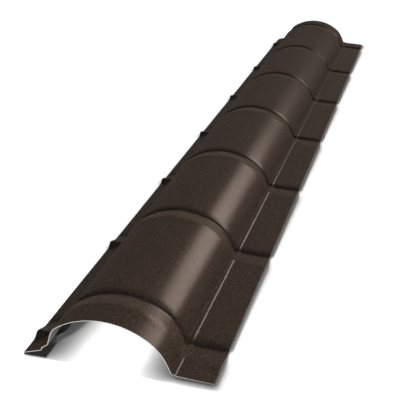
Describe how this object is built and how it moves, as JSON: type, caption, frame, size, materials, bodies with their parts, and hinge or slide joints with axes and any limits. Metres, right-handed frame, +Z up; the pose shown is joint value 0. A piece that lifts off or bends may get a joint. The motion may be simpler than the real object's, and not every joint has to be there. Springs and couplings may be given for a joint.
{
  "type": "roof ridge cap",
  "caption": "Long half-round sheet-metal ridge cap with pressed steps along its barrel, a hooked flange on one side and a plain flange on the other.",
  "frame": {"origin": "centre of the footprint, on the floor that the cap lies on", "axes": "+Y along the ridge from the near end in the picture to the far end, +X across to the plain flange, +Z up"},
  "size_m": [0.2865, 1.97, 0.0772],
  "materials": {
    "coated_sheet": "matt dark brown textured coat"
  },
  "bodies": {
    "root": {"ridge_cap": "coated_sheet"}
  },
  "joints": []
}
